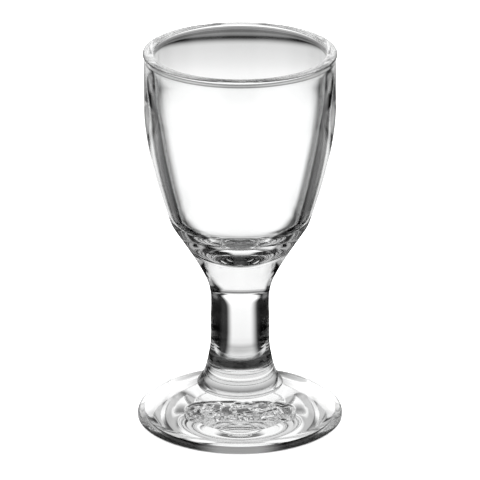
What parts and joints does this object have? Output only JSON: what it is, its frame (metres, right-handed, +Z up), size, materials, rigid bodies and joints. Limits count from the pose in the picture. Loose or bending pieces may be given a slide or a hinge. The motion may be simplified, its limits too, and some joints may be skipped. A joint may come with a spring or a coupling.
{
  "type": "stemmed shot glass",
  "caption": "Thick clear stemmed shot glass: an egg-shaped bowl with a rounded lip on a short solid stem, a flared collar and a round sloping foot.",
  "frame": {"origin": "centre of the circle on which the foot stands", "axes": "+Z up along the axis of the glass, towards the lip"},
  "size_m": [0.054, 0.054, 0.1011],
  "materials": {
    "bowl_glass": "clear pressed glass with a fire-polished lip",
    "stem_glass": "clear solid glass, fire-polished",
    "collar_glass": "clear solid glass, fire-polished",
    "foot_glass": "clear pressed glass with a ground bearing ring"
  },
  "bodies": {
    "root": {"bowl": "bowl_glass", "stem": "stem_glass", "collar": "collar_glass", "foot": "foot_glass"}
  },
  "joints": []
}
